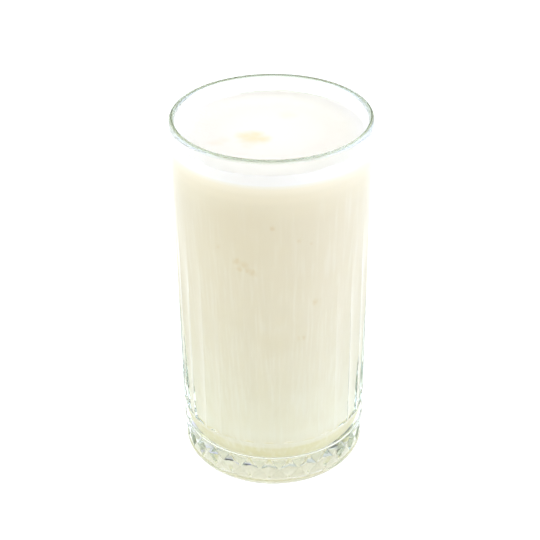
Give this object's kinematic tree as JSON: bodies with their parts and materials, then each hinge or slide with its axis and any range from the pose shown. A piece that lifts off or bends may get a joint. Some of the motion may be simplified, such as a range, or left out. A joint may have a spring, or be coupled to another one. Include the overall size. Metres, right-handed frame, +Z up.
{
  "type": "glass of iced milk tea",
  "caption": "Tall fluted tumbler with a band of sunk diamonds above its foot, filled with pale milky tea under a thin layer of foam.",
  "frame": {"origin": "centre of the foot's standing ring, at the height it stands on", "axes": "+Z up along the glass's axis; -Y faces the camera of the picture"},
  "size_m": [0.0758, 0.0758, 0.146],
  "materials": {
    "glass": "clear, very slightly green, polished",
    "drink": "opaque pale beige liquid, glossy and slightly translucent",
    "foam": "fine soft foam, matte, near white"
  },
  "bodies": {
    "root": {"glass": "glass", "drink": "drink", "foam": "foam"}
  },
  "joints": []
}
